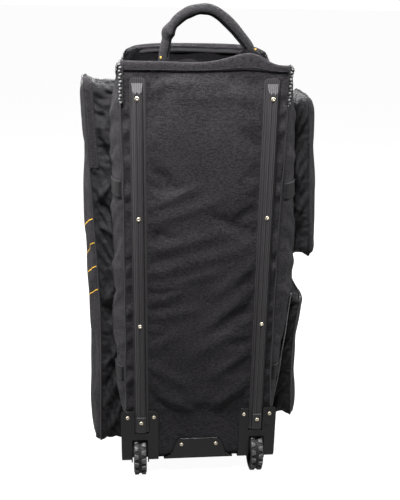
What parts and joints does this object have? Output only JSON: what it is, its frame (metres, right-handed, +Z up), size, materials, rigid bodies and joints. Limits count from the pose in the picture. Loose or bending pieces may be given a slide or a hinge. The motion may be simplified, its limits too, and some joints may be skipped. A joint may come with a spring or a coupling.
{
  "type": "wheeled cricket kit bag",
  "caption": "Tall black padded kit bag that stands on wheels and feet, with glide rails up its back, side pockets, webbing bands and an arched haul handle.",
  "frame": {"origin": "on the floor, in the middle of the bounding box seen from above", "axes": "+Z up; the wheel side of the bag, its back, faces -Y; the tall bat pocket is on the -X side"},
  "size_m": [0.5324, 0.3338, 1.1074],
  "materials": {
    "cloth": "matte woven, padded",
    "gusset": "matte woven",
    "webbing": "ribbed webbing",
    "piping": "coated cord",
    "zip": "satin teeth",
    "rail": "satin",
    "housing": "satin, glossy edges",
    "tyre": "matte rubber",
    "hub": "satin",
    "steel": "plated, satin"
  },
  "bodies": {
    "bag": {"axle_left": "steel", "axle_right": "steel", "back_panel": "cloth", "bottom_end": "cloth", "foot_left": "housing", "foot_right": "housing", "front_lid": "cloth", "handle_grip": "cloth", "handle_tab_left": "webbing", "handle_tab_right": "webbing", "housing_rivet_left_inner": "steel", "housing_rivet_left_outer": "steel", "housing_rivet_right_inner": "steel", "housing_rivet_right_outer": "steel", "kick_plate": "housing", "kick_rivet_left": "steel", "kick_rivet_right": "steel", "left_pocket_face": "cloth", "left_pocket_flap": "webbing", "left_pocket_gusset": "gusset", "left_pocket_piping": "piping", "left_pocket_zip": "zip", "lower_pocket_face": "cloth", "lower_pocket_gusset": "gusset", "lower_pocket_piping": "piping", "piping_left": "piping", "piping_right": "piping", "rail_block_left": "housing", "rail_block_right": "housing", "rail_left": "rail", "rail_right": "rail", "rail_rivet_left_1": "steel", "rail_rivet_left_2": "steel", "rail_rivet_left_3": "steel", "rail_rivet_left_4": "steel", "rail_rivet_right_1": "steel", "rail_rivet_right_2": "steel", "rail_rivet_right_3": "steel", "rail_rivet_right_4": "steel", "side_left": "cloth", "side_right": "cloth", "top_end": "cloth", "upper_pocket_face": "cloth", "upper_pocket_gusset": "gusset", "upper_pocket_piping": "piping", "webbing_lower_left": "webbing", "webbing_lower_right": "webbing", "webbing_upper_left": "webbing", "webbing_upper_right": "webbing", "wheel_housing_left": "housing", "wheel_housing_right": "housing", "zip_left": "zip", "zip_right": "zip", "zip_slider": "zip"},
    "wheel_left": {"tyre_left": "tyre", "hub_left": "hub"},
    "wheel_right": {"tyre_right": "tyre", "hub_right": "hub"}
  },
  "joints": [
    {"name": "left_wheel_spin", "type": "hinge", "parent": "bag", "child": "wheel_left", "pos_m": [-0.14593, -0.11511, 0.052], "axis": [1, 0, 0], "continuous": true},
    {"name": "right_wheel_spin", "type": "hinge", "parent": "bag", "child": "wheel_right", "pos_m": [0.14007, -0.11511, 0.052], "axis": [1, 0, 0], "continuous": true}
  ]
}
